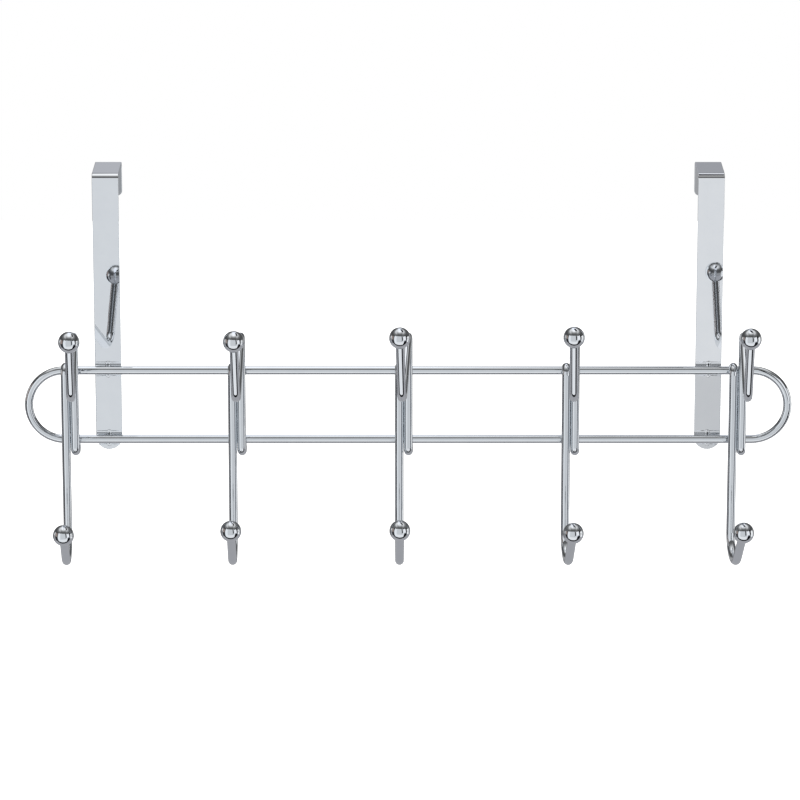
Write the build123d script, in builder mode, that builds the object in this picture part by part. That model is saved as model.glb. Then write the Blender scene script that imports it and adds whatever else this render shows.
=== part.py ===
from build123d import *
from math import cos, radians, sin, tan
import os

# Over door hook rack, millimetres.
# X runs along the rails, +Y goes away from the room through the door, +Z is up.
# The origin lies on the door's top front edge, halfway between the two straps.

# Door straps: flat steel strip bent over the top of the door
door_gap = 35.0  # between the front leg and the rear lip
strap_width = 15.9
strap_thick = 1.3
strap_bend = 2.5  # inside radius of both bends
strap_spacing = 362.4  # from one strap's middle to the other's
strap_tail = 7.3  # strap left below the lower rail's middle
strap_edge = 0.35  # rounding along the rolled strip's edges
tail_flat = 0.1  # left between the two rounded corners of a tail
rear_lip = 20.0
lip_corner = 3.0

# Weld ribs: raised bars on each strap that the rails are welded to
rib_length = 10.4
rib_width = 3.8
rib_height = 0.5
rib_edge = 0.3

# Rail loop: one round wire bent into two rails with round ends
rail_wire = 5.1
loop_width = 463.5
rail_drop = 119.1  # upper rail's middle below the door top
rail_step = 43.0  # from the upper rail down to the lower one

# Hooks: one wire each, with a ball on both ends
hook_count = 5
hook_pitch = 100.4
hook_wire = 5.3
weld_gap = 0.02  # clearance left at each welded contact

# Welded middle of a hook: two front legs joined to a rear leg by tight turns
tight_bend = 3.7  # radius of the wire's middle line
turn_flat = 0.2  # straight bit across each tight turn
leg_gap = 0.1  # between the two front legs
rear_lean = 0.5  # rear leg's lower end stands this far beyond the short leg
top_turn_rise = 0.6  # upper tight turn's centre above the upper rail
low_turn_drop = 1.1  # lower tight turn's centre below the lower rail

# Upper arm: over a crest, forward and down to a dip, then up to the ball
crest_rise = 29.1  # crest corner above the upper rail
crest_bend = 4.2
dip_reach = 49.5  # dip corner in front of the leg
dip_drop = 5.6  # dip corner below the upper rail
dip_bend = 8.5
upper_tip_angle = 70.0  # slope of the ball end, degrees from level
upper_tip_rise = 45.1  # ball above the dip corner

# Lower arm: a wide turn at the foot of the long leg, then up to the ball
foot_drop = 68.1  # wire's lowest middle line below the lower rail
foot_bend = 14.0
foot_flat = 0.2  # straight bit between the two bends of a foot
lower_tip_angle = 49.0
lower_tip_rise = 25.7  # ball above the lowest middle line

# Each arm is bent a little out of true, as the real ones are, left to right:
# degrees towards +X about its leg, and millimetres that its ball stands higher
upper_turns = [1.9, -1.6, -4.4, -3.1, -0.5]
lower_turns = [0.6, -0.1, 0.5, 4.5, 6.2]
upper_lifts = [-1.6, -1.2, 1.0, 1.4, 0.4]
lower_lifts = [-1.7, 1.0, 1.3, -0.4, -0.2]

# Balls: drilled and pressed on the wire ends
ball_dia = 12.7
bore_gap = 0.03  # round the wire in the ball's bore
bore_end_gap = 0.1

# Heights and depths that follow from the sizes above
upper_rail_z = -rail_drop
lower_rail_z = upper_rail_z - rail_step
rail_y = -strap_thick - rib_height - rail_wire / 2 - weld_gap
rear_leg_y = rail_y - rail_wire / 2 - hook_wire / 2 - weld_gap
front_leg_y = rear_leg_y - 2 * tight_bend - turn_flat
leg_step = hook_wire + leg_gap


def strap_side(sign):
    return sign * strap_spacing / 2


def hook_x(index):
    return (index - (hook_count - 1) / 2) * hook_pitch


def forward(x, y, turn, reach, z):
    """Point at a reach in front of a leg, in the arm's own turned plane."""
    angle = radians(turn)
    return Vector(x + reach * sin(angle), y - reach * cos(angle), z)


def upper_arm(index):
    """Crest corner, dip corner and ball centre of one upper arm."""
    x = hook_x(index)
    turn = upper_turns[index]
    dip_z = upper_rail_z - dip_drop
    tip_reach = dip_reach + upper_tip_rise / tan(radians(upper_tip_angle))
    ball_z = dip_z + upper_tip_rise + upper_lifts[index]
    crest = Vector(x, front_leg_y, upper_rail_z + crest_rise)
    dip = forward(x, front_leg_y, turn, dip_reach, dip_z)
    ball = forward(x, front_leg_y, turn, tip_reach, ball_z)
    return crest, dip, ball


def lower_arm(index):
    """Heel corner under the leg, toe corner under the tip, and ball centre."""
    x = hook_x(index) - leg_step
    turn = lower_turns[index]
    foot_z = lower_rail_z - foot_drop
    foot_run = foot_bend * (1 + tan(radians(lower_tip_angle) / 2)) + foot_flat
    tip_reach = foot_run + lower_tip_rise / tan(radians(lower_tip_angle))
    ball_z = foot_z + lower_tip_rise + lower_lifts[index]
    heel = Vector(x, front_leg_y, foot_z)
    toe = forward(x, front_leg_y, turn, foot_run, foot_z)
    ball = forward(x, front_leg_y, turn, tip_reach, ball_z)
    return heel, toe, ball


# One wire: upper ball, dip, crest, short leg, rear leg, long leg, foot, lower ball
def make_hook_wire(index):
    crest, dip, upper_ball = upper_arm(index)
    heel, toe, lower_ball = lower_arm(index)
    short_x = hook_x(index)
    long_x = short_x - leg_step
    rear_x = short_x + rear_lean
    turn_low_z = lower_rail_z - low_turn_drop - tight_bend
    turn_top_z = upper_rail_z + top_turn_rise + tight_bend
    corners = [
        (dip, dip_bend),
        (crest, crest_bend),
        (Vector(short_x, front_leg_y, turn_low_z), tight_bend),
        (Vector(rear_x, rear_leg_y, turn_low_z), tight_bend),
        (Vector(long_x, rear_leg_y, turn_top_z), tight_bend),
        (Vector(long_x, front_leg_y, turn_top_z), tight_bend),
        (heel, foot_bend),
        (toe, foot_bend),
    ]
    start = upper_ball + (dip - upper_ball).normalized() * bore_end_gap
    finish = lower_ball + (toe - lower_ball).normalized() * bore_end_gap
    points = [start] + [corner for corner, bend in corners] + [finish]
    bends = [bend for corner, bend in corners]
    with BuildPart() as hook:
        with BuildLine() as route:
            FilletPolyline(*points, radius=bends)
        start_plane = Plane(origin=start, z_dir=(dip - start))
        with BuildSketch(start_plane):
            Circle(hook_wire / 2)
        sweep(path=route.wires()[0])
    return hook.part


# A ball with a blind bore from its surface to its middle, along the wire
def make_ball(centre, wire_from):
    seat = Plane(origin=centre, z_dir=(wire_from - centre))
    with BuildPart(seat) as ball:
        Sphere(ball_dia / 2)
        with Locations((0, 0, ball_dia / 2)):
            Hole(hook_wire / 2 + bore_gap, depth=ball_dia / 2)
    return ball.part


# Half of the loop is swept and mirrored, so both ends match
with BuildPart() as rail_loop:
    loop_end = rail_step / 2
    half_straight = loop_width / 2 - rail_wire / 2 - loop_end
    loop_origin = (0, rail_y, upper_rail_z - loop_end)
    loop_plane = Plane(origin=loop_origin, x_dir=(1, 0, 0), z_dir=(0, -1, 0))
    with BuildLine(loop_plane) as half_loop:
        Line((0, loop_end), (half_straight, loop_end))
        CenterArc((half_straight, 0), loop_end, 90, -180)
        Line((half_straight, -loop_end), (0, -loop_end))
    with BuildSketch(Plane.YZ):
        with Locations((rail_y, upper_rail_z)):
            Circle(rail_wire / 2)
    sweep(path=half_loop.wires()[0])
    mirror(about=Plane.YZ)
rail_loop.part.label = "rail_loop"


# Strap: traced side profile, extruded across, then rounded ends, edges and ribs
def make_strap(centre_x):
    middle = strap_thick / 2
    tail_z = lower_rail_z - strap_tail
    back_y = door_gap + middle
    with BuildPart() as strap:
        with BuildSketch(Plane.YZ.offset(centre_x)):
            with BuildLine():
                FilletPolyline(
                    (-middle, tail_z),
                    (-middle, middle),
                    (back_y, middle),
                    (back_y, -rear_lip),
                    radius=strap_bend + middle,
                )
            trace(line_width=strap_thick)
        extrude(amount=strap_width / 2, both=True)
        across = strap.edges().filter_by(Axis.Y)
        tail_corners = across.group_by(Axis.Z)[0]
        fillet(tail_corners, (strap_width - tail_flat) / 2)
        lip_corners = strap.edges().filter_by(Axis.Y).group_by(Axis.Y)[-1]
        fillet(lip_corners, lip_corner)
        sides = strap.faces().filter_by(Axis.X)
        fillet(sides.edges(), strap_edge)
        for rail_z in (upper_rail_z, lower_rail_z):
            rib_origin = (centre_x, -strap_thick, rail_z)
            rib_plane = Plane(origin=rib_origin, x_dir=(0, 0, 1), z_dir=(0, -1, 0))
            with BuildSketch(rib_plane):
                SlotOverall(rib_length, rib_width)
            extrude(amount=rib_height)
        rib_tops = strap.faces().filter_by(Axis.Y).group_by(Axis.Y)[0]
        fillet(rib_tops.edges(), rib_edge)
    return strap.part


parts = [rail_loop.part]

for side, sign in (("left", -1), ("right", 1)):
    strap_part = make_strap(strap_side(sign))
    strap_part.label = f"door_strap_{side}"
    parts.append(strap_part)

for index in range(hook_count):
    number = index + 1
    hook_part = make_hook_wire(index)
    hook_part.label = f"hook_wire_{number}"
    parts.append(hook_part)
    for level, arm in (("upper", upper_arm(index)), ("lower", lower_arm(index))):
        ball_part = make_ball(arm[2], arm[1])
        ball_part.label = f"{level}_ball_{number}"
        parts.append(ball_part)

os.makedirs("parts", exist_ok=True)
for part in parts:
    export_step(part, f"parts/{part.label}.step")
    print(part.label, round(part.volume, 1), "mm3")
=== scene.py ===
from math import cos, pi, radians, sin, sqrt, tan

import bmesh
import bpy
from mathutils import Matrix, Vector


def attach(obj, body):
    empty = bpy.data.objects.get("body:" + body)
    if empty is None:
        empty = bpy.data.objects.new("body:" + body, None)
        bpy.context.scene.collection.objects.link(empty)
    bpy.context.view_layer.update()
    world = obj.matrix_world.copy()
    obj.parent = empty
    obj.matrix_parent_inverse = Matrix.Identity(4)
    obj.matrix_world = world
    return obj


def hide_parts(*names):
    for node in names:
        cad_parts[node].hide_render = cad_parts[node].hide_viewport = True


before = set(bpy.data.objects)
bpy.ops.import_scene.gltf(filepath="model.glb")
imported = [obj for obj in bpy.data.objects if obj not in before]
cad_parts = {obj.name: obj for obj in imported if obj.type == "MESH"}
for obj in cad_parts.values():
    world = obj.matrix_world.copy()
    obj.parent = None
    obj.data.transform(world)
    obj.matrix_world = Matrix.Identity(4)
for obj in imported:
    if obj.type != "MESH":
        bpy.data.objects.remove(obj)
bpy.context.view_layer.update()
print("frame loaded:", len(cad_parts), "nodes")

mm = 0.001  # sizes are written in millimetres and the scene is in metres
samePlace = 1e-7  # metres, closer than which two places count as one
unitSquare = 0.5  # the size with which create_grid makes a square of side 1
scene = bpy.context.scene


def hexColour(code):
    # sRGB hex to the linear colour that shaders use
    channels = [int(code[i:i + 2], 16) / 255 for i in (1, 3, 5)]
    linear = [c / 12.92 if c <= 0.04045 else ((c + 0.055) / 1.055) ** 2.4 for c in channels]
    return (*linear, 1.0)


def addNode(tree, kind, settings=None, inputs=None):
    # settings are the node's own properties; an input is a value or another node's output
    node = tree.nodes.new(kind)
    for key, value in (settings or {}).items():
        setattr(node, key, value)
    for key, value in (inputs or {}).items():
        if isinstance(value, bpy.types.NodeSocket):
            tree.links.new(value, node.inputs[key])
        else:
            node.inputs[key].default_value = value
    return node


# Camera: a long lens, a little above the rack, square on
camera = {
    "distance": 2800,
    "elevation": 15.3,
    "lookAt": (-4.95, 0, -138.8),
    "lens": 208.17,
    "sensor": 36,
    "clip": (0.05, 60),  # metres
}
tilt = radians(camera["elevation"])
away = Vector((0, -cos(tilt), sin(tilt))) * camera["distance"]
cameraData = bpy.data.cameras.new("camera")
cameraData.lens = camera["lens"]
cameraData.sensor_width = camera["sensor"]
cameraData.clip_start, cameraData.clip_end = camera["clip"]
cameraObject = bpy.data.objects.new("camera", cameraData)
cameraObject.location = (Vector(camera["lookAt"]) + away) * mm
cameraObject.rotation_euler = (pi / 2 - tilt, 0, 0)
scene.collection.objects.link(cameraObject)
scene.camera = cameraObject
print("camera set")


# Chrome plate: a nearly neutral mirror, a shade bluer than silver
chrome = {
    "patch": 9,  # mm, size of the duller patches
    "patchDetail": 3.0,
    "patchGrain": 0.6,
    "patchSpan": (0.3, 0.7),  # pattern values over which the gloss changes
    "ripple": 7,  # mm, spacing of the plate's slight orange peel
    "rippleDetail": 2.0,
}
# lines rolled along a strip; real ones are finer than a pixel, so these are a little coarser
rolledGrain = {"across": 1.4, "along": 40, "depth": 0.0003, "detail": 4.0}
# colours of the clean plate and of where handling has left it flatter, where the strips'
# pair is painted lighter than the wire's and the right strip's lighter than the left's, as painted
# light on the same plate; roughness at its glossiest and at its dullest; ripple depth in mm; and
# for the straps the degrees by which their images are slid, because the real ones are welded on
# slightly out of square
chromeFinishes = {
    "wire": {"colours": ("#E4E7EA", "#DADEE2"), "roughness": (0.02, 0.04), "rippleDepth": 0.004},
    "rails": {"colours": ("#E4E7EA", "#DADEE2"), "roughness": (0.02, 0.04), "rippleDepth": 0.004},
    "balls": {"colours": ("#E4E7EA", "#DADEE2"), "roughness": (0.01, 0.025), "rippleDepth": 0.002},
    # the strips' colours below are a painted brightness: the same plate as the wire, painted lighter, and
    # the right strip lighter than the left
    "stripLeft": {
        "colours": ("#F1F4F7", "#E9ECF0"), "roughness": (0.015, 0.035), "rippleDepth": 0.003,
        "toe": -6.1, "grain": rolledGrain},
    "stripRight": {
        "colours": ("#F9FAFC", "#F1F3F6"), "roughness": (0.015, 0.035), "rippleDepth": 0.003,
        "toe": 3.5, "grain": rolledGrain},
}


def polishedChrome(name, finish):
    # Bright chrome plate over polished steel. The eye gets sharp mirror images of the
    # room, broken up by a faint ripple and by patches that are a touch less glossy.
    material = bpy.data.materials.new(name)
    material.use_nodes = True
    tree = material.node_tree
    tree.nodes.clear()
    place = addNode(tree, "ShaderNodeTexCoord").outputs["Object"]
    patches = addNode(tree, "ShaderNodeTexNoise", {}, {
        "Vector": place, "Scale": 1 / (chrome["patch"] * mm),
        "Detail": chrome["patchDetail"], "Roughness": chrome["patchGrain"]})
    clean, handled = (hexColour(code) for code in finish["colours"])
    colour = addNode(tree, "ShaderNodeMix", {"data_type": "RGBA"}, {
        "Factor": patches.outputs["Fac"], "A": clean, "B": handled})
    gloss = addNode(tree, "ShaderNodeMapRange", {}, {
        "Value": patches.outputs["Fac"],
        "From Min": chrome["patchSpan"][0], "From Max": chrome["patchSpan"][1],
        "To Min": finish["roughness"][0], "To Max": finish["roughness"][1]})
    ripples = addNode(tree, "ShaderNodeTexNoise", {}, {
        "Vector": place, "Scale": 1 / (chrome["ripple"] * mm), "Detail": chrome["rippleDetail"]})
    relief = addNode(tree, "ShaderNodeBump", {}, {
        "Height": ripples.outputs["Fac"], "Strength": 1.0, "Distance": finish["rippleDepth"] * mm})
    if "grain" in finish:
        # fine across the strip and long down it
        grain = finish["grain"]
        across, along = 1 / (grain["across"] * mm), 1 / (grain["along"] * mm)
        stretched = addNode(tree, "ShaderNodeMapping", {"vector_type": "POINT"}, {
            "Vector": place, "Scale": (across, along, along)})
        lines = addNode(tree, "ShaderNodeTexNoise", {}, {
            "Vector": stretched.outputs["Vector"], "Scale": 1.0, "Detail": grain["detail"]})
        relief = addNode(tree, "ShaderNodeBump", {}, {
            "Height": lines.outputs["Fac"], "Strength": 1.0, "Distance": grain["depth"] * mm,
            "Normal": relief.outputs["Normal"]})
    if "toe" in finish:
        # a level slope across the strip, which only its shading follows
        parts = addNode(tree, "ShaderNodeSeparateXYZ", {}, {"Vector": place})
        slope = addNode(tree, "ShaderNodeMath", {"operation": "MULTIPLY"}, {
            0: parts.outputs["X"], 1: -tan(radians(finish["toe"]))})
        relief = addNode(tree, "ShaderNodeBump", {}, {
            "Height": slope.outputs["Value"], "Strength": 1.0, "Distance": 1.0,
            "Normal": relief.outputs["Normal"]})
    shader = addNode(tree, "ShaderNodeBsdfPrincipled", {}, {
        "Base Color": colour.outputs["Result"], "Metallic": 1.0,
        "Roughness": gloss.outputs["Result"], "Normal": relief.outputs["Normal"]})
    addNode(tree, "ShaderNodeOutputMaterial", {}, {"Surface": shader.outputs["BSDF"]})
    return material


wireChrome = polishedChrome("polishedChromePlateOnWire", chromeFinishes["wire"])
railChrome = polishedChrome("polishedChromePlateOnRails", chromeFinishes["rails"])
ballChrome = polishedChrome("mirrorChromePlateOnBalls", chromeFinishes["balls"])
strapChromeLeft = polishedChrome("polishedChromePlateOnStripLeft", chromeFinishes["stripLeft"])
strapChromeRight = polishedChrome("polishedChromePlateOnStripRight", chromeFinishes["stripRight"])
print("chrome mixed")


sharpFrom = 40  # degrees between faces, from which an edge stays sharp
mergeWithin = 0.001  # mm


def finishPiece(bm, name, node, material):
    # merges doubles, turns the faces outwards and puts the piece in its node's place
    bmesh.ops.remove_doubles(bm, verts=bm.verts, dist=mergeWithin * mm)
    bmesh.ops.recalc_face_normals(bm, faces=bm.faces)
    for face in bm.faces:
        face.smooth = True
    for edge in bm.edges:
        edge.smooth = edge.calc_face_angle(0) < radians(sharpFrom)
    mesh = bpy.data.meshes.new(name)
    bm.to_mesh(mesh)
    bm.free()
    mesh.materials.append(material)
    piece = bpy.data.objects.new(name, mesh)
    scene.collection.objects.link(piece)
    even = piece.modifiers.new("evenShading", "WEIGHTED_NORMAL")
    even.mode = "FACE_AREA"
    even.keep_sharp = True
    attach(piece, "root")
    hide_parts(node)


def facing(place, direction):
    # a place and a direction as a matrix that turns +Z that way
    return Matrix.Translation(place) @ direction.to_track_quat("Z", "Y").to_matrix().to_4x4()


wire = {
    "sides": 40,
    "stepAngle": 4,  # degrees a bend turns at each ring
    "fewestSteps": 4,
}


def startWire(bm, place, direction, diameter, closed):
    # the first ring of a wire, as its edges; a closed one has a face at its start
    verts = bmesh.ops.create_circle(
        bm, cap_ends=closed, segments=wire["sides"], radius=diameter / 2 * mm,
        matrix=facing(place, direction))["verts"]
    return list(dict.fromkeys(edge for vert in verts for edge in vert.link_edges))


def runStraight(bm, ring, shift):
    # carries the wire's last ring straight on and returns the new one
    grown = bmesh.ops.extrude_edge_only(bm, edges=ring)["geom"]
    ends = [part for part in grown if isinstance(part, bmesh.types.BMVert)]
    bmesh.ops.translate(bm, verts=ends, vec=shift)
    ends = set(ends)
    edges = [part for part in grown if isinstance(part, bmesh.types.BMEdge)]
    return [edge for edge in edges if edge.verts[0] in ends and edge.verts[1] in ends]


def runBend(bm, ring, centre, axis, angle):
    # carries the wire's last ring round a bend and returns the new one
    corners = list(dict.fromkeys(vert for edge in ring for vert in edge.verts))
    turned = bmesh.ops.spin(
        bm, geom=corners + ring, cent=centre, axis=axis, dvec=(0, 0, 0), angle=angle,
        steps=max(wire["fewestSteps"], round(angle / radians(wire["stepAngle"]))),
        use_merge=False, use_duplicate=False)
    return [part for part in turned["geom_last"] if isinstance(part, bmesh.types.BMEdge)]


# Rails: one wire run round into a long loop
rails = {
    "diameter": 5.1,
    "width": 463.5,
    "y": -4.37,
    "upper": -119.1,
    "step": 43.0,
}


def makeRails():
    bm = bmesh.new()
    radius = rails["step"] / 2 * mm
    half = rails["width"] / 2 * mm - rails["diameter"] / 2 * mm - radius
    middle = Vector((0, rails["y"] * mm, rails["upper"] * mm - radius))
    along = Vector((half, 0, 0))
    start = middle + Vector((0, 0, radius))
    ring = startWire(bm, start, Vector((1, 0, 0)), rails["diameter"], False)
    ring = runStraight(bm, ring, along)
    ring = runBend(bm, ring, middle + along, (0, 1, 0), pi)
    ring = runStraight(bm, ring, -2 * along)
    ring = runBend(bm, ring, middle - along, (0, 1, 0), pi)
    runStraight(bm, ring, along)
    finishPiece(bm, "railWire", "rail_loop", railChrome)


makeRails()
print("rails bent")

# Straps: a flat blank with a round tail, bent twice over the door, and two weld ribs
strap = {
    "width": 15.9,
    "thick": 1.3,
    "spacing": 362.4,
    "bend": 2.5,  # inside
    "doorGap": 35.0,
    "tail": -169.4,  # lowest point
    "lip": 20.0,
    "lipCorner": 3.0,
    "rim": 0.35,
    "tailFlat": 0.1,  # between the two rounded corners of the tail
    "cornerSteps": 20,
    "rimSteps": 4,
    "bendSteps": 14,
}
rib = {
    "length": 10.4,
    "width": 3.4,
    "height": 0.5,
    "sunk": 0.1,
    "endRound": 0.98,  # of half the width, which rounds its ends
    "endSteps": 12,
    "crownSteps": 7,
    "crownAngle": 80,  # degrees up the crown's curve, where its flat top starts
}


def flatBlank(bm, width, length, tailRound, farRound, low, high, rim):
    # a strip from y 0 to its length, with rounded corners and rolled rims
    before = set(bm.verts)
    bmesh.ops.create_grid(bm, x_segments=1, y_segments=1, size=unitSquare)
    sheet = [vert for vert in bm.verts if vert not in before]
    bmesh.ops.scale(bm, verts=sheet, vec=(width, length, 1))
    bmesh.ops.translate(bm, verts=sheet, vec=(0, length / 2, low))
    for corners, radius in (
        ([vert for vert in sheet if vert.co.y < length / 2], tailRound),
        ([vert for vert in sheet if vert.co.y > length / 2], farRound),
    ):
        bmesh.ops.bevel(
            bm, geom=corners, offset=radius, offset_type="OFFSET", segments=strap["cornerSteps"],
            profile=0.5, affect="VERTICES", material=-1, clamp_overlap=True)
    faces = [face for face in bm.faces if not any(vert in before for vert in face.verts)]
    raised = bmesh.ops.extrude_face_region(bm, geom=faces)["geom"]
    raisedVerts = [part for part in raised if isinstance(part, bmesh.types.BMVert)]
    bmesh.ops.translate(bm, verts=raisedVerts, vec=(0, 0, high - low))
    rims = [
        edge for edge in bm.edges
        if edge.verts[0] not in before and abs(edge.verts[0].co.z - edge.verts[1].co.z) < samePlace
    ]
    bmesh.ops.bevel(
        bm, geom=rims, offset=rim, offset_type="OFFSET", segments=strap["rimSteps"],
        profile=0.5, affect="EDGES", material=-1, clamp_overlap=True)


def crownedRib(bm):
    # a low weld rib with round ends, inset step by step up to its crown
    before = set(bm.verts)
    half = rib["width"] / 2 * mm
    bmesh.ops.create_grid(bm, x_segments=1, y_segments=1, size=unitSquare)
    corners = [vert for vert in bm.verts if vert not in before]
    bmesh.ops.scale(bm, verts=corners, vec=(rib["width"] * mm, rib["length"] * mm, 1))
    bmesh.ops.translate(bm, verts=corners, vec=(0, rib["length"] / 2 * mm, -rib["sunk"] * mm))
    bmesh.ops.bevel(
        bm, geom=corners, offset=half * rib["endRound"], offset_type="OFFSET",
        segments=rib["endSteps"], profile=0.5, affect="VERTICES", material=-1, clamp_overlap=True)
    top = [face for face in bm.faces if not any(vert in before for vert in face.verts)]
    raised = bmesh.ops.extrude_face_region(bm, geom=top)["geom"]
    top = [part for part in raised if isinstance(part, bmesh.types.BMFace)]
    bmesh.ops.translate(bm, verts=top[0].verts, vec=(0, 0, rib["sunk"] * mm))
    rise, reach = 0.0, 0.0
    for step in range(1, rib["crownSteps"] + 1):
        angle = step / rib["crownSteps"] * radians(rib["crownAngle"])
        nextRise, nextReach = sin(angle) * rib["height"] * mm, (1 - cos(angle)) * half
        bmesh.ops.inset_region(bm, faces=top, thickness=nextReach - reach, depth=0, use_even_offset=True)
        bmesh.ops.translate(bm, verts=top[0].verts, vec=(0, 0, nextRise - rise))
        rise, reach = nextRise, nextReach
    return [vert for vert in bm.verts if vert not in before]


def makeStrap(side, sign, material):
    bm = bmesh.new()
    half = strap["thick"] / 2 * mm
    radius = strap["bend"] * mm + half
    leg = -(strap["bend"] + strap["tail"]) * mm
    top = (strap["doorGap"] - 2 * strap["bend"]) * mm
    lip = (strap["lip"] - strap["bend"]) * mm
    quarter = radius * pi / 2
    length = leg + top + lip + 2 * quarter
    tailRound = (strap["width"] - strap["tailFlat"]) / 2 * mm
    flatBlank(
        bm, strap["width"] * mm, length, tailRound, strap["lipCorner"] * mm,
        -half, half, strap["rim"] * mm)
    for start in (leg, leg + quarter + top):
        for step in range(strap["bendSteps"] + 1):
            place = start + quarter * step / strap["bendSteps"]
            everything = list(bm.verts) + list(bm.edges) + list(bm.faces)
            bmesh.ops.bisect_plane(
                bm, geom=everything, dist=samePlace, plane_co=(0, place, 0), plane_no=(0, 1, 0))
    # bending: along the leg, round the front corner, back over the door, round, down the lip
    for vert in bm.verts:
        x, along, out = vert.co
        y, z = -half - out, strap["tail"] * mm + along
        along -= leg
        if along > 0:
            angle = min(along, quarter) / radius
            y = radius - half - (radius + out) * cos(angle)
            z = half - radius + (radius + out) * sin(angle)
            along -= quarter
        if along > 0:
            y += min(along, top)
            along -= top
        if along > 0:
            angle = min(along, quarter) / radius
            y = radius - half + top + (radius + out) * sin(angle)
            z = half - radius + (radius + out) * cos(angle)
            along -= quarter
        if along > 0:
            z -= along
        vert.co = (x, y, z)
    for railHeight in (rails["upper"], rails["upper"] - rails["step"]):
        bar = crownedRib(bm)
        bmesh.ops.rotate(bm, verts=bar, cent=(0, 0, 0), matrix=Matrix.Rotation(pi / 2, 3, "X"))
        bmesh.ops.translate(
            bm, verts=bar, vec=(0, -strap["thick"] * mm, (railHeight - rib["length"] / 2) * mm))
    bmesh.ops.translate(bm, verts=bm.verts, vec=(sign * strap["spacing"] / 2 * mm, 0, 0))
    finishPiece(bm, "strap" + side.capitalize(), "door_strap_" + side, material)


makeStrap("left", -1, strapChromeLeft)
makeStrap("right", 1, strapChromeRight)
print("straps bent")

# Balls: pressed on the wires' ends
ball = {
    "diameter": 12.7,
    "bore": 5.36,  # diameter
    "boreRim": 0.15,
    "boreRimSteps": 2,
    "segments": 72,
    "rings": 48,
}


def makeBall(name, node, centre, wireFrom):
    # turned ball, bored along the wire as far as its middle
    bm = bmesh.new()
    radius = ball["diameter"] / 2 * mm
    bore = ball["bore"] / 2 * mm
    mouth = sqrt(radius ** 2 - bore ** 2)
    bmesh.ops.create_uvsphere(bm, u_segments=ball["segments"], v_segments=ball["rings"], radius=radius)
    everything = list(bm.verts) + list(bm.edges) + list(bm.faces)
    bmesh.ops.bisect_plane(
        bm, geom=everything, dist=samePlace, plane_co=(0, 0, mouth), plane_no=(0, 0, 1), clear_outer=True)
    rim = [edge for edge in bm.edges if edge.is_boundary]
    floor = runStraight(bm, rim, Vector((0, 0, -mouth)))
    bmesh.ops.edgeloop_fill(bm, edges=floor)
    bmesh.ops.bevel(
        bm, geom=rim, offset=ball["boreRim"] * mm, offset_type="OFFSET",
        segments=ball["boreRimSteps"], profile=0.5, affect="EDGES", material=-1, clamp_overlap=True)
    bmesh.ops.transform(bm, matrix=facing(centre * mm, wireFrom - centre), verts=bm.verts)
    finishPiece(bm, name, node, ballChrome)


# Hooks: each one wire, from its upper ball to its lower ball
hook = {
    "count": 5,
    "pitch": 100.4,
    "diameter": 5.3,
    "legStep": 5.4,
    "rearY": -9.59,
    "frontY": -17.19,
    "tightBend": 3.7,
    "rearLean": 0.5,
    "topTurn": 0.6,
    "lowTurn": 1.1,
    "crestRise": 29.1,
    "crestBend": 4.2,
    "dipReach": 49.5,
    "dipDrop": 5.6,
    "dipBend": 8.5,
    "upperSlope": 70.0,
    "upperRise": 45.1,
    "footDrop": 68.1,
    "footBend": 14.0,
    "footFlat": 0.2,
    "lowerSlope": 49.0,
    "lowerRise": 25.7,
    # how far each arm is out of true, left to right, in degrees and millimetres
    "upperTurns": [1.9, -1.6, -4.4, -3.1, -0.5],
    "lowerTurns": [0.6, -0.1, 0.5, 4.5, 6.2],
    "upperLifts": [-1.6, -1.2, 1.0, 1.4, 0.4],
    "lowerLifts": [-1.7, 1.0, 1.3, -0.4, -0.2],
    "endGap": 0.1,  # between a wire's end and its ball's middle
}


def reached(x, turn, reach, z):
    # a point in front of a leg, in its arm's own turned plane
    angle = radians(turn)
    return Vector((x + reach * sin(angle), hook["frontY"] - reach * cos(angle), z))


def hookRoute(index):
    # corners of the wire's middle line with their bends, and the two ball centres
    upper = rails["upper"]
    lower = upper - rails["step"]
    shortX = (index - (hook["count"] - 1) / 2) * hook["pitch"]
    longX = shortX - hook["legStep"]
    upperTurn, lowerTurn = hook["upperTurns"][index], hook["lowerTurns"][index]
    dipZ = upper - hook["dipDrop"]
    tipReach = hook["dipReach"] + hook["upperRise"] / tan(radians(hook["upperSlope"]))
    upperBall = reached(shortX, upperTurn, tipReach, dipZ + hook["upperRise"] + hook["upperLifts"][index])
    footZ = lower - hook["footDrop"]
    footRun = hook["footBend"] * (1 + tan(radians(hook["lowerSlope"]) / 2)) + hook["footFlat"]
    toeReach = footRun + hook["lowerRise"] / tan(radians(hook["lowerSlope"]))
    lowerBall = reached(longX, lowerTurn, toeReach, footZ + hook["lowerRise"] + hook["lowerLifts"][index])
    lowZ = lower - hook["lowTurn"] - hook["tightBend"]
    topZ = upper + hook["topTurn"] + hook["tightBend"]
    corners = [
        (reached(shortX, upperTurn, hook["dipReach"], dipZ), hook["dipBend"]),
        (Vector((shortX, hook["frontY"], upper + hook["crestRise"])), hook["crestBend"]),
        (Vector((shortX, hook["frontY"], lowZ)), hook["tightBend"]),
        (Vector((shortX + hook["rearLean"], hook["rearY"], lowZ)), hook["tightBend"]),
        (Vector((longX, hook["rearY"], topZ)), hook["tightBend"]),
        (Vector((longX, hook["frontY"], topZ)), hook["tightBend"]),
        (Vector((longX, hook["frontY"], footZ)), hook["footBend"]),
        (reached(longX, lowerTurn, footRun, footZ), hook["footBend"]),
    ]
    return upperBall, corners, lowerBall


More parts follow.
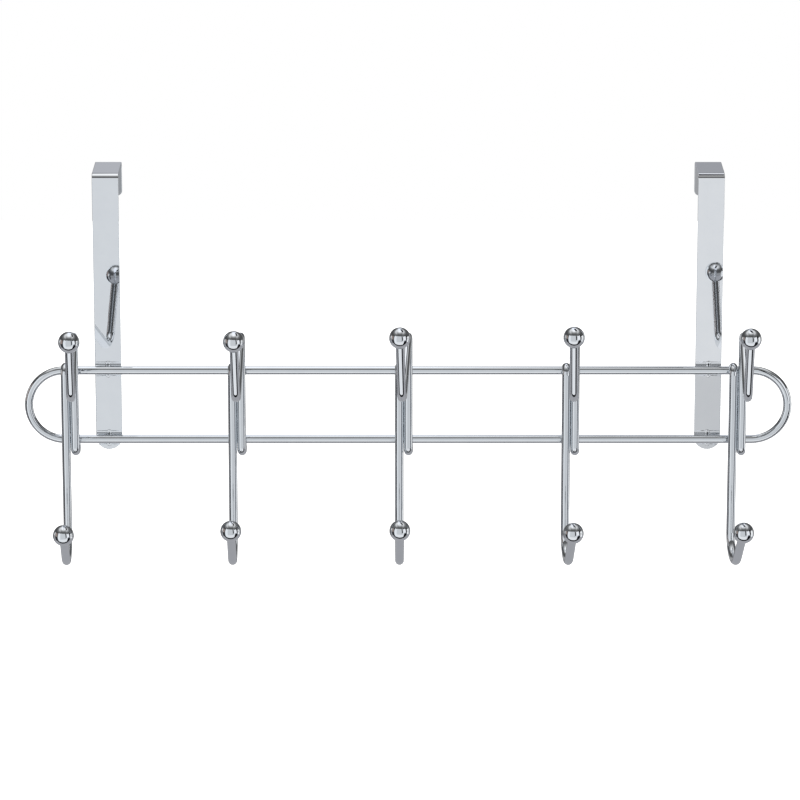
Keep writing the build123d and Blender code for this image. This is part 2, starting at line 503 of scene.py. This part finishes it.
def makeHook(index):
    upperBall, corners, lowerBall = hookRoute(index)
    number = index + 1
    bm = bmesh.new()
    here = upperBall + (corners[0][0] - upperBall).normalized() * hook["endGap"]
    last = lowerBall + (corners[-1][0] - lowerBall).normalized() * hook["endGap"]
    ring = startWire(bm, here * mm, corners[0][0] - here, hook["diameter"], True)
    for step, (corner, bend) in enumerate(corners):
        following = corners[step + 1][0] if step + 1 < len(corners) else last
        inward = (corner - here).normalized()
        outward = (following - corner).normalized()
        angle = inward.angle(outward)
        touch = corner - inward * bend * tan(angle / 2)
        if (touch - here).length * mm > samePlace:
            ring = runStraight(bm, ring, (touch - here) * mm)
        towards = (outward - inward * inward.dot(outward)).normalized()
        axis = inward.cross(outward).normalized()
        ring = runBend(bm, ring, (touch + towards * bend) * mm, axis, angle)
        here = corner + outward * bend * tan(angle / 2)
    ring = runStraight(bm, ring, (last - here) * mm)
    bmesh.ops.edgeloop_fill(bm, edges=ring)
    finishPiece(bm, f"hookWire{number}", f"hook_wire_{number}", wireChrome)
    makeBall(f"upperBall{number}", f"upper_ball_{number}", upperBall, corners[0][0])
    makeBall(f"lowerBall{number}", f"lower_ball_{number}", lowerBall, corners[-1][0])


for index in range(hook["count"]):
    makeHook(index)
print("hooks bent and balls pressed on")


# Studio: a white floor far below, and round the rack the cards of a light tent, which
# only the chrome's reflections see
def paintLight(name, colour, strength):
    # a card's even glow, which is not sampled as a lamp
    material = bpy.data.materials.new(name)
    material.use_nodes = True
    material.cycles.emission_sampling = "NONE"
    tree = material.node_tree
    tree.nodes.clear()
    glow = addNode(tree, "ShaderNodeEmission", {}, {"Color": hexColour(colour), "Strength": strength})
    addNode(tree, "ShaderNodeOutputMaterial", {}, {"Surface": glow.outputs["Emission"]})
    return material


def standCard(bm, name, material):
    # turns a bmesh into a card that only mirrored rays see
    mesh = bpy.data.meshes.new(name)
    bm.to_mesh(mesh)
    bm.free()
    mesh.materials.append(material)
    card = bpy.data.objects.new(name, mesh)
    scene.collection.objects.link(card)
    card.visible_camera = False
    card.visible_diffuse = False
    card.visible_transmission = False
    card.visible_shadow = False


hookHeight = -0.10  # metres, the upper balls' height, which the cards stand about
cardSteps = 12  # facets round a curved card
# upright cards round the rack: azimuths from straight ahead, positive to the right, in
# degrees; distance, bottom and top in metres, the last two from the upper balls' height;
# colour and strength
uprights = {
    "frontLeft": (-61, -34, 2.05, -5.0, 1.12, "#F9FCFF", 1.04),
    "frontMiddle": (-34, 38, 1.85, -5.0, 1.14, "#F9FCFF", 0.77),
    "frontLow": (-34, 38, 1.84, -5.0, -1.0, "#FCFDFF", 1.0),
    "frontRight": (38, 68, 2.05, -5.0, 0.92, "#FBFCFF", 1.10),
    "stand": (20, 31, 1.7, -0.42, 1.12, "#202024", 0.6),
    "rightDip": (12, 20, 1.8, -0.9, -0.49, "#F9FCFF", 0.60),
    "rightPost": (66, 81, 2.0, -0.45, 0.95, "#202024", 0.7),
    "rightShin": (47, 82, 2.0, -0.75, -0.45, "#B0B4BC", 0.50),
    "rightFoot": (45, 82, 2.0, -3.0, -0.75, "#202024", 0.7),
    "rightSliver": (82, 109, 2.1, -1.1, 0.36, "#FFFFFF", 1.15),
    "leftPost": (-69, -61, 2.1, -3.0, 1.1, "#303034", 0.7),
    "leftWarm": (-94, -69, 2.1, -0.3, 0.7, "#DCC8C0", 0.50),
    "leftShade": (-94, -64, 2.0, -2.9, -0.3, "#404044", 0.8),
    "leftSliver": (-112, -97, 2.1, -0.15, 0.45, "#FFFFFF", 0.9),
    "leftEdge": (-130, -114, 2.1, -2.5, 0.9, "#505054", 1.0),
    "backLeft": (-179, -168, 2.4, 0.25, 1.1, "#F6F8FF", 0.52),
}
for name, (fromAngle, toAngle, distance, bottom, top, colour, strength) in uprights.items():
    bm = bmesh.new()
    foot = bm.verts.new((0, -distance, bottom + hookHeight))
    head = bm.verts.new((0, -distance, top + hookHeight))
    side = bm.edges.new((foot, head))
    firstTurn = Matrix.Rotation(radians(fromAngle), 3, "Z")
    bmesh.ops.rotate(bm, verts=bm.verts, cent=(0, 0, 0), matrix=firstTurn)
    bmesh.ops.spin(
        bm, geom=[foot, head, side], cent=(0, 0, 0), axis=(0, 0, 1), dvec=(0, 0, 0),
        angle=radians(toAngle - fromAngle), steps=cardSteps, use_merge=False, use_duplicate=False)
    standCard(bm, name + "Card", paintLight(name + "Light", colour, strength))

# level cards: centre and size in metres, turn in degrees, colour and strength
levels = {
    "table": ((0, 1.26, -1.6), (9.0, 3.08), 0, "#FAFAFF", 0.45),
    "tableBack": ((0, 4.0, -1.6), (9.0, 2.4), 0, "#FAFAFF", 0.30),
    "tableEdge": ((0, -0.54, -1.6), (9.0, 0.52), 0, "#202024", 0.7),
    "boomArm": ((0.26, 0.18, 0.80), (0.66, 0.26), -64, "#3C3C40", 0.7),
}
for name, (centre, size, turn, colour, strength) in levels.items():
    bm = bmesh.new()
    bmesh.ops.create_grid(bm, x_segments=1, y_segments=1, size=unitSquare)
    bmesh.ops.scale(bm, verts=bm.verts, vec=(*size, 1))
    bmesh.ops.rotate(bm, verts=bm.verts, cent=(0, 0, 0), matrix=Matrix.Rotation(radians(turn), 3, "Z"))
    bmesh.ops.translate(bm, verts=bm.verts, vec=centre)
    standCard(bm, name + "Card", paintLight(name + "Light", colour, strength))

# the tent beyond the cards: dim in front and at the sides, grey behind, brightest overhead
tent = {
    "radius": 6.5,  # metres
    "segments": 96,
    "rings": 64,
    "colours": {"front": "#FFFFFF", "back": "#F4F7FF", "side": "#FFFFFF"},
    # how far off the middle its front and its back give way to its sides
    "spread": {"front": (0.35, 0.62), "back": (0.13, 0.22)},
    "turn": (-0.15, 0.35),  # how far back its front gives way to its back
    "whiteLevel": 2.0,  # the brightness that white in a ramp stands for
    # brightness from straight below to straight above, by sine of elevation
    "front": [
        (-1.0, 0.44), (0.40, 0.10), (0.76, 0.13), (0.86, 0.28),
        (0.94, 0.60), (0.985, 1.1), (1.0, 1.35)],
    "back": [
        (-1.0, 0.30), (0.10, 0.37), (0.30, 0.39), (0.40, 0.14),
        (0.55, 0.20), (0.72, 1.35), (1.0, 1.35)],
    "side": [
        (-1.0, 0.40), (-0.10, 0.40), (0.15, 0.10), (0.50, 0.09),
        (0.72, 0.28), (0.80, 0.80), (1.0, 1.35)],
}


def rampNode(tree, height, part):
    # a ramp's colours stop at 1, so it holds shares of the white level, which the glow restores
    tint = hexColour(tent["colours"][part])
    ramp = addNode(tree, "ShaderNodeValToRGB", {}, {"Fac": height})
    elements = ramp.color_ramp.elements
    while len(elements) < len(tent[part]):
        elements.new(0.5)  # each stop gets its own place below
    for element, (sine, strength) in zip(elements, tent[part]):
        element.position = (sine + 1) / 2
        element.color = (*(strength / tent["whiteLevel"] * channel for channel in tint[:3]), 1)
    return ramp.outputs["Color"]


tentCloth = bpy.data.materials.new("tentCloth")
tentCloth.use_nodes = True
tentCloth.cycles.emission_sampling = "NONE"
tree = tentCloth.node_tree
tree.nodes.clear()
place = addNode(tree, "ShaderNodeTexCoord").outputs["Object"]
direction = addNode(tree, "ShaderNodeVectorMath", {"operation": "NORMALIZE"}, {0: place}).outputs["Vector"]
parts = addNode(tree, "ShaderNodeSeparateXYZ", {}, {"Vector": direction})
height = addNode(tree, "ShaderNodeMapRange", {}, {
    "Value": parts.outputs["Z"], "From Min": -1.0, "From Max": 1.0,
    "To Min": 0.0, "To Max": 1.0}).outputs["Result"]
backness = addNode(tree, "ShaderNodeMapRange", {}, {
    "Value": parts.outputs["Y"], "From Min": tent["turn"][0], "From Max": tent["turn"][1],
    "To Min": 0.0, "To Max": 1.0}).outputs["Result"]
spread = addNode(tree, "ShaderNodeMath", {"operation": "ABSOLUTE"}, {
    0: parts.outputs["X"]}).outputs["Value"]
around = []
for part in ("front", "back"):
    fromSpread, toSpread = tent["spread"][part]
    sideness = addNode(tree, "ShaderNodeMapRange", {}, {
        "Value": spread, "From Min": fromSpread, "From Max": toSpread,
        "To Min": 0.0, "To Max": 1.0}).outputs["Result"]
    around.append(addNode(tree, "ShaderNodeMix", {"data_type": "RGBA"}, {
        "Factor": sideness,
        "A": rampNode(tree, height, part), "B": rampNode(tree, height, "side")}).outputs["Result"])
allRound = addNode(tree, "ShaderNodeMix", {"data_type": "RGBA"}, {
    "Factor": backness, "A": around[0], "B": around[1]}).outputs["Result"]
glow = addNode(tree, "ShaderNodeEmission", {}, {"Color": allRound, "Strength": tent["whiteLevel"]})
addNode(tree, "ShaderNodeOutputMaterial", {}, {"Surface": glow.outputs["Emission"]})
bm = bmesh.new()
bmesh.ops.create_uvsphere(
    bm, u_segments=tent["segments"], v_segments=tent["rings"], radius=tent["radius"])
standCard(bm, "tentCard", tentCloth)

# floor and world: pure white wherever a ray sees them, while the light they give is softer
backdrop = {
    "floorLevel": -7.0,  # metres
    "floorReach": 30,  # metres from its middle to each edge
    "floorColour": "#F2F2F0",
    "white": "#FFFFFF",
    "lightLevel": 0.7,
    "seenLevel": 1.0,
}


def whiteRays(tree):
    # 1 for camera, mirrored and transmitted rays, and 0 for the rest
    rays = addNode(tree, "ShaderNodeLightPath").outputs
    seen = addNode(tree, "ShaderNodeMath", {"operation": "MAXIMUM"}, {
        0: rays["Is Camera Ray"], 1: rays["Is Glossy Ray"]}).outputs["Value"]
    return addNode(tree, "ShaderNodeMath", {"operation": "MAXIMUM"}, {
        0: seen, 1: rays["Is Transmission Ray"]}).outputs["Value"]


floorPaint = bpy.data.materials.new("palePaintedFloor")
floorPaint.use_nodes = True
tree = floorPaint.node_tree
tree.nodes.clear()
matt = addNode(tree, "ShaderNodeBsdfDiffuse", {}, {"Color": hexColour(backdrop["floorColour"])})
lift = addNode(tree, "ShaderNodeEmission", {}, {
    "Color": hexColour(backdrop["white"]), "Strength": whiteRays(tree)})
lifted = addNode(tree, "ShaderNodeAddShader", {}, {0: matt.outputs["BSDF"], 1: lift.outputs["Emission"]})
addNode(tree, "ShaderNodeOutputMaterial", {}, {"Surface": lifted.outputs["Shader"]})
floorBm = bmesh.new()
bmesh.ops.create_grid(floorBm, x_segments=1, y_segments=1, size=backdrop["floorReach"])
bmesh.ops.translate(floorBm, verts=floorBm.verts, vec=(0, 0, backdrop["floorLevel"]))
floorMesh = bpy.data.meshes.new("floor")
floorBm.to_mesh(floorMesh)
floorBm.free()
floorMesh.materials.append(floorPaint)
floorObject = bpy.data.objects.new("floor", floorMesh)
scene.collection.objects.link(floorObject)

world = bpy.data.worlds.new("studio")
scene.world = world
world.use_nodes = True
tree = world.node_tree
tree.nodes.clear()
level = addNode(tree, "ShaderNodeMapRange", {}, {
    "Value": whiteRays(tree), "From Min": 0.0, "From Max": 1.0,
    "To Min": backdrop["lightLevel"], "To Max": backdrop["seenLevel"]})
sky = addNode(tree, "ShaderNodeBackground", {}, {
    "Color": hexColour(backdrop["white"]), "Strength": level.outputs["Result"]})
addNode(tree, "ShaderNodeOutputWorld", {}, {"Surface": sky.outputs["Background"]})

# a softbox overhead, which mirrored rays don't see
softbox = {
    "width": 1.6,  # metres
    "depth": 1.2,
    "power": 8,  # watts
    "place": (-0.2, -0.3, 1.6),
}
lampData = bpy.data.lights.new("overheadSoftbox", "AREA")
lampData.shape = "RECTANGLE"
lampData.size = softbox["width"]
lampData.size_y = softbox["depth"]
lampData.energy = softbox["power"]
lampObject = bpy.data.objects.new("overheadSoftbox", lampData)
lampObject.location = softbox["place"]
lampObject.visible_glossy = False
scene.collection.objects.link(lampObject)

scene.view_settings.view_transform = "Standard"
print("studio set up")
